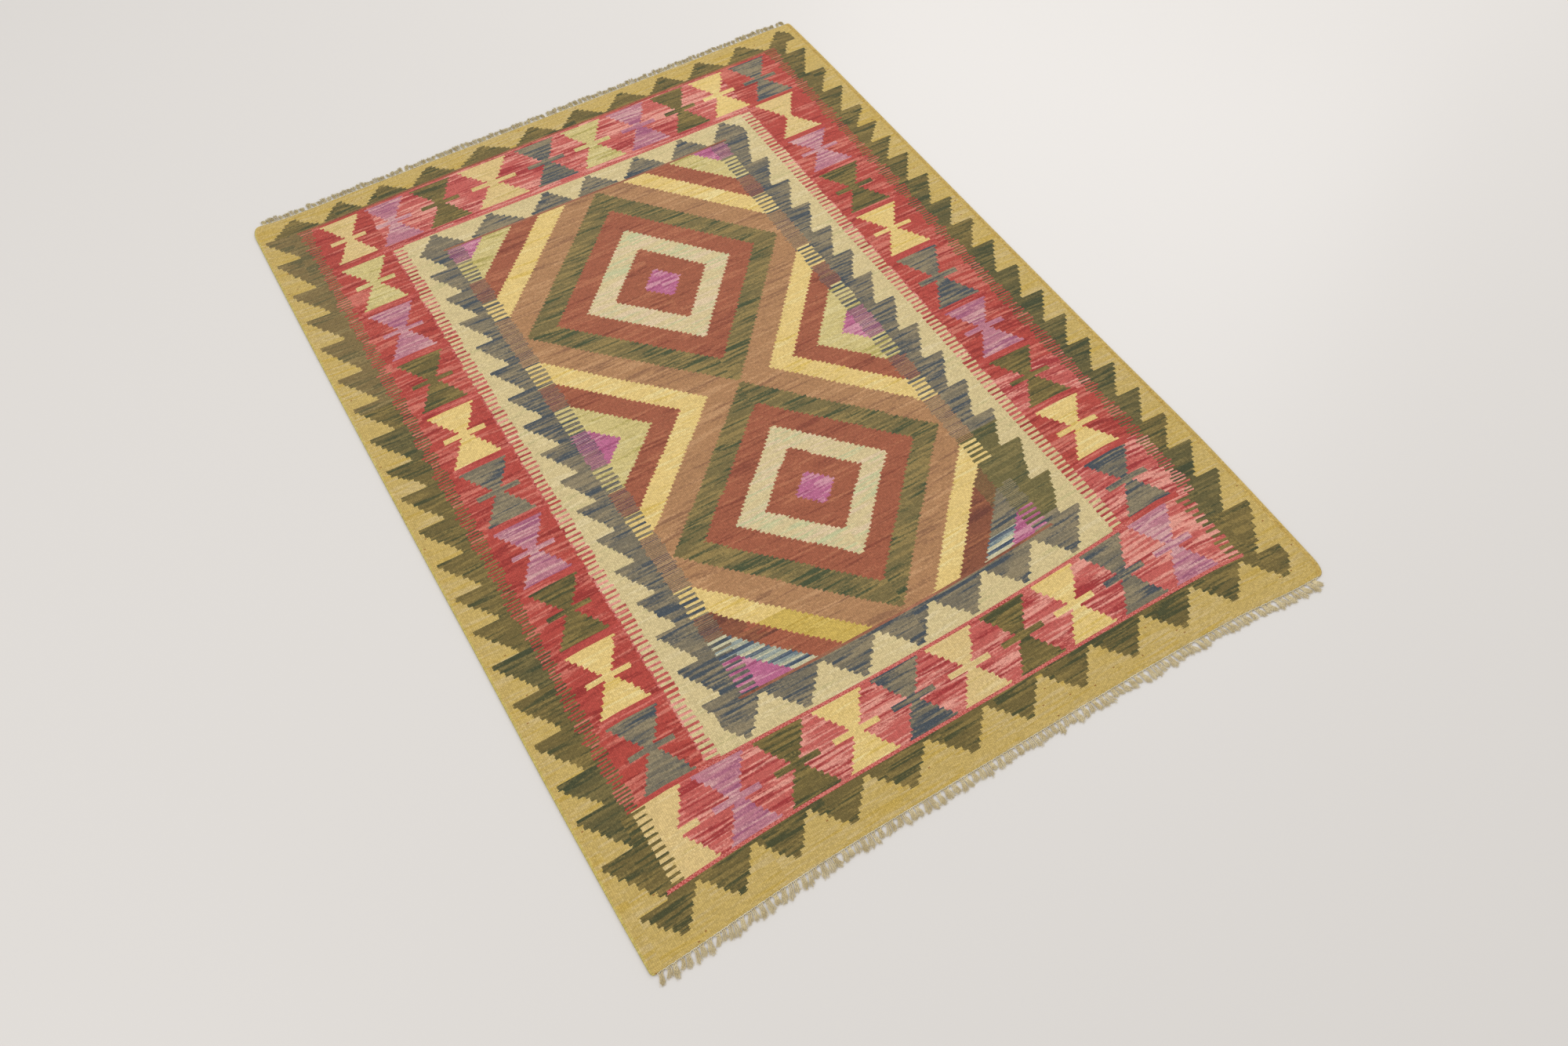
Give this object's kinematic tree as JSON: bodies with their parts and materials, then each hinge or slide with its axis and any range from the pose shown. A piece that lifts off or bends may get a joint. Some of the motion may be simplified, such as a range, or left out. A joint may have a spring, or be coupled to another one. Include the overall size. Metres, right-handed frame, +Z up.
{
  "type": "kilim rug",
  "caption": "Flat-woven wool rug lying flat, with stepped diamonds, an hourglass border, a toothed outer band and a short cut warp fringe at each end.",
  "frame": {"origin": "on the floor, under the middle of the box around the whole rug", "axes": "+X across the width from the left selvedge to the right one, +Y along the length from the near end to the far end, +Z up"},
  "size_m": [1.054, 1.445, 0.0032],
  "materials": {
    "woven_wool": "matte hand-spun wool weft, weft-faced weave with stepped colour areas and streaky dye",
    "warp_yarn": "matte undyed twisted warp ends, cut short"
  },
  "bodies": {
    "root": {"rug_cloth": "woven_wool", "fringe_near": "warp_yarn", "fringe_far": "warp_yarn"}
  },
  "joints": []
}
